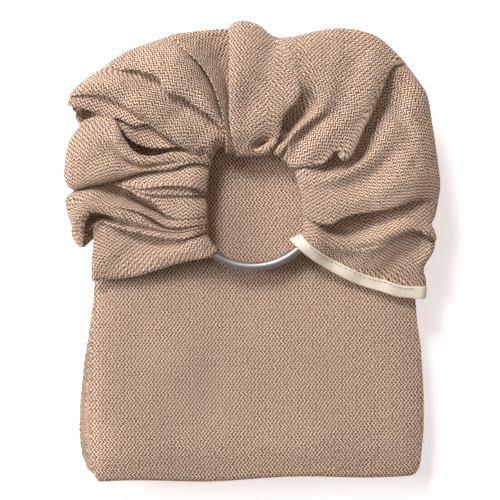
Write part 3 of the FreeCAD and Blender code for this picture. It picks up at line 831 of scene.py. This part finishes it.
def turn_grid():
    """A sheet that comes out of the wrap's top ply, turns up under the fan's rim and joins its underside."""
    angles = np.linspace(TURN_FROM, TURN_TO, TURN_COLUMNS)
    reach = np.array([rim_distance(a) for a in angles]) - TURN_INSET
    reach = np.convolve(np.pad(reach, 4, mode="edge"), np.ones(9) / 9, mode="valid")
    half = (TURN_HIGH - TURN_LOW) / 2
    # Out over the wrap's top ply, round a half turn, and back in under the fan.
    section = [(-d, TURN_LOW - 1.7 * float(smooth(d, 10, 30))) for d in np.linspace(30, 1.5, 12)]
    section += [(half * math.sin(a) * 1.6 - 0.5, TURN_LOW + half - half * math.cos(a))
                for a in np.linspace(0.15, math.pi - 0.15, 9)]
    section += [(-d, TURN_HIGH + 1.1 * float(smooth(d, 6, 27))) for d in np.linspace(1.5, 27, 11)]
    way = np.stack([np.cos(angles), np.sin(angles)], axis=1)
    grid = [[[*(w * (r + out)), h] for out, h in section] for w, r in zip(way, reach)]
    return np.array(grid)


def arc_uv(grid):
    """Cloth coordinates in metres of a smooth grid, from the lengths of its middle row and column."""
    u = lengths(grid[:, grid.shape[1] // 2])
    v = lengths(grid[len(grid) // 2])
    return np.repeat(u[:, None], len(v), 1) * MM, np.repeat(v[None], len(u), 0) * MM


def make_final(piece):
    """Apply a piece's modifiers, so that its mesh is final."""
    bpy.context.view_layer.objects.active = piece
    for modifier in list(piece.modifiers):
        bpy.ops.object.modifier_apply(modifier=modifier.name)


turn_points = turn_grid()
turn = grid_mesh("shoulder_turn", turn_points, *arc_uv(turn_points))
turn.data.materials.append(cloth)
thicken(turn, TURN_THICK)
make_final(turn)
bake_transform(turn)

# -------- tape, hems and stitches
TAPE_WIDTH, TAPE_THICK = 6.6, 0.6
HEM_WIDTH = 8.0
STITCH, STITCH_GAP, THREAD_R, ROW_MARGIN = 2.3, 0.9, 0.28, 1.0
STITCH_RINGS, THREAD_SIDES = 7, 7
EDGE_COLUMNS, EDGE_START_R = 60, 36.5


def read_line(run, line, at):
    """The point of a line at a distance, where run holds the distance of each of its points."""
    return np.array([np.interp(at, run, line[:, k]) for k in range(3)])


class Edge:
    """One end edge of the fan: places at a distance in from the edge and a height over the cloth."""

    def __init__(self, columns, rows):
        self.columns = columns[:EDGE_COLUMNS, rows]
        self.inward = runs(self.columns, 0)
        across, along = np.gradient(self.columns, axis=0), np.gradient(self.columns, axis=1)
        normal = np.cross(across, along)
        normal /= np.linalg.norm(normal, axis=2)[..., None]
        middle = normal[2, normal.shape[1] // 2]
        self.normal = normal * np.sign(middle[2])
        self.out = -across[1] / np.linalg.norm(across[1], axis=1)[:, None]

    def at(self, inward, over):
        """The line of places at one distance in and one height over. Less than 0 is out past the edge."""
        line = []
        for j, run in enumerate(self.inward.T):
            point = read_line(run, self.columns[:, j], max(inward, 0))
            normal = read_line(run, self.normal[:, j], max(inward, 0))
            normal /= np.linalg.norm(normal)
            line.append(point + normal * over + self.out[j] * max(-inward, 0))
        return np.array(line)

    def band(self, section):
        """A grid of places, one line for each (distance in, height over) of a section."""
        return np.array([self.at(inward, over) for inward, over in section])


def round_edge(top, bottom, steps=7):
    """The part of a section that goes round the cloth's edge, from one height to a lower one."""
    middle, radius = (top + bottom) / 2, (top - bottom) / 2
    turn = np.linspace(0, math.pi, steps)
    return [(-radius * math.sin(a) - 0.02, middle + radius * math.cos(a)) for a in turn]


def tube_faces(first, rings, sides):
    """The faces of a closed tube whose rings of points start at point number first."""
    faces = []
    for start in range(first, first + (rings - 1) * sides, sides):
        for k in range(sides):
            a, b = start + k, start + (k + 1) % sides
            faces.append((a, a + sides, b + sides, b))
    faces.append(tuple(range(first, first + sides)))
    last = first + (rings - 1) * sides
    faces.append(tuple(reversed(range(last, last + sides))))
    return faces


def stitch_row(name, line):
    """A row of sewn stitches along a line: each a short arched thread with tapered ends."""
    run = lengths(line)
    verts, faces = [], []
    start = ROW_MARGIN
    while start + STITCH < run[-1] - ROW_MARGIN:
        faces += tube_faces(len(verts), STITCH_RINGS, THREAD_SIDES)
        for t in np.linspace(0, 1, STITCH_RINGS):
            centre = read_line(run, line, start + t * STITCH)
            ahead = read_line(run, line, start + t * STITCH + 0.2) - centre
            ahead /= np.linalg.norm(ahead)
            side = np.cross(ahead, [0, 0, 1.0])
            side /= np.linalg.norm(side)
            up = np.cross(side, ahead)
            radius = THREAD_R * (0.35 + 0.65 * math.sin(math.pi * (0.08 + 0.84 * t)) ** 0.6)
            centre = centre + up * 0.25 * (math.sin(math.pi * t) - 0.6)
            for k in range(THREAD_SIDES):
                a = 2 * math.pi * k / THREAD_SIDES
                verts.append(centre + radius * (math.cos(a) * side + math.sin(a) * up))
        start += STITCH + STITCH_GAP
    row = smooth_mesh(name, verts, faces)
    row.data.materials.append(thread)
    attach(row, "shoulder")
    return row


def edge_rows(column):
    """The rows of an end column from where it goes under the rings to a little past the rim."""
    r = np.hypot(column[:, 0], column[:, 1])
    first = int(np.argmax(r < EDGE_START_R))
    return slice(first, COLLAR_ROWS + FAN_ROWS + 6)


tape_edge = Edge(fan_columns[::-1], edge_rows(fan_columns[-1]))
OVER = (CLOTH + TAPE_THICK) / 2 + 0.06
tape_section = [(w, OVER) for w in np.linspace(TAPE_WIDTH, 0.0, 8)] + round_edge(OVER, -OVER)[1:]
tape_section += [(w, -OVER) for w in np.linspace(0.6, 4.6, 5)]
tape_points = tape_edge.band(tape_section)
tape = grid_mesh("cream_tape", tape_points, *arc_uv(tape_points))
tape.data.materials.append(tape_cloth)
thicken(tape, TAPE_THICK)
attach(tape, "shoulder")
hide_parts("cream_edge_tape")
main_rows = slice(8, -8)
tape_seam = tape_edge.at(TAPE_WIDTH - 1.3, OVER + TAPE_THICK / 2 + 0.1)
tape_row = stitch_row("tape_thread", tape_seam[main_rows])
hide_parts("tape_stitches")

hem_edge = Edge(fan_columns, edge_rows(fan_columns[0]))
UNDER = -CLOTH - 0.08
hem_section = round_edge(0.0, UNDER) + [(w, UNDER) for w in np.linspace(0.6, HEM_WIDTH, 8)]
hem_points = hem_edge.band(hem_section)
hem = grid_mesh("left_hem", hem_points, *arc_uv(hem_points))
hem.data.materials.append(cloth)
thicken(hem, CLOTH)
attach(hem, "shoulder")
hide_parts("left_edge_hem")
hem_seam = hem_edge.at(HEM_WIDTH - 1.6, CLOTH / 2 + 0.12)
hem_row = stitch_row("left_hem_thread", hem_seam[main_rows])
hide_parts("left_hem_stitches")

# The tail's rolled hem: its radius in millimetres, and metres of cloth from side to side of its tube.
TAIL_HEM_R, HEM_ROUND = 0.47, 0.0003


def rolled_hem(name, line, radius, sides=10):
    """A narrow rolled hem: a soft tube along a line."""
    ahead = np.gradient(line, axis=0)
    ahead /= np.linalg.norm(ahead, axis=1)[:, None]
    side = np.cross(ahead, [0, 1.0, 0])
    side /= np.linalg.norm(side, axis=1)[:, None]
    up = np.cross(side, ahead)
    angles = [2 * math.pi * k / sides for k in range(sides)]
    points = np.stack([line + radius * (math.cos(a) * side + math.sin(a) * up) for a in angles], axis=1)
    piece = smooth_mesh(name, points, tube_faces(0, len(line), sides))
    add_cloth_map(piece, [(run * MM, k * HEM_ROUND) for run in lengths(line) for k in range(sides)])
    return piece


tail_line = packet_points[:, -1] + np.array([0, -0.25, 0.25])
tail = rolled_hem("tail_rolled_hem", tail_line, TAIL_HEM_R)
tail.data.materials.append(cloth)
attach(tail, "wrap")
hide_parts("tail_hem")


def finish_node(node, material):
    """Give a CAD node that stays in view its material."""
    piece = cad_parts[node]
    for k in range(len(piece.material_slots)):
        piece.material_slots[k].material = material
    return piece


for node in ("front_ring", "back_ring"):
    finish_node(node, metal)
seams = [finish_node(node, thread) for node in ("inner_seam_stitches", "outer_seam_stitches")]


# -------- floor, light and camera
def area_light(name, where, size, power, colour):
    """A round soft light that looks at the middle of the sling."""
    data = bpy.data.lights.new(name, "AREA")
    data.shape = "DISK"
    data.size, data.energy, data.color = size, power, colour
    lamp = add_object(name, data)
    lamp.location = where
    lamp.rotation_euler = (Vector((0, 0, 0.02)) - Vector(where)).to_track_quat("-Z", "Y").to_euler()


def world_light():
    """A soft dome, darker towards the horizon."""
    world = bpy.data.worlds.new("studio")
    world.use_nodes = True
    tree = world.node_tree
    background = tree.nodes["Background"]
    coordinate = tree.nodes.new("ShaderNodeTexCoord")
    part = tree.nodes.new("ShaderNodeSeparateXYZ")
    ramp = tree.nodes.new("ShaderNodeValToRGB")
    low, high = ramp.color_ramp.elements
    low.position, low.color = 0.25, (0.10, 0.075, 0.06, 1)
    high.position, high.color = 0.90, (1.0, 0.93, 0.88, 1)
    tree.links.new(coordinate.outputs["Generated"], part.inputs[0])
    tree.links.new(part.outputs[2], ramp.inputs[0])
    tree.links.new(ramp.outputs[0], background.inputs["Color"])
    background.inputs["Strength"].default_value = 0.38
    bpy.context.scene.world = world


CAMERA_HEIGHT = 1.15
VIEW_WIDTH = 0.300
VIEW_X, VIEW_Y = CENTRE_X - 0.0018, CENTRE_Y - 0.0306


def camera():
    """A camera straight above, whose view is VIEW_WIDTH across at a little over the top of the stack."""
    data = bpy.data.cameras.new("camera")
    data.sensor_width = 36.0
    data.lens = data.sensor_width * (CAMERA_HEIGHT - STACK_TOP - 0.01) / VIEW_WIDTH
    data.clip_start, data.clip_end = 0.05, 20.0
    eye = add_object("camera", data)
    eye.location = (VIEW_X, VIEW_Y, CAMERA_HEIGHT)
    bpy.context.scene.camera = eye


def floor():
    """The plain table top that the sling lies on."""
    bpy.ops.mesh.primitive_plane_add(size=6.0, location=(0, 0, 0))
    ground = bpy.context.object
    ground.name = "floor"
    ground.data.materials.append(pale_floor("floor"))


floor()
world_light()
area_light("key", (-0.80, 1.64, 1.70), 0.9, 49.0, (1.0, 0.995, 0.985))
area_light("side", (-2.00, 0.20, 0.98), 0.8, 28.0, (1.0, 0.985, 0.975))
camera()
bpy.context.scene.view_settings.view_transform = "Standard"
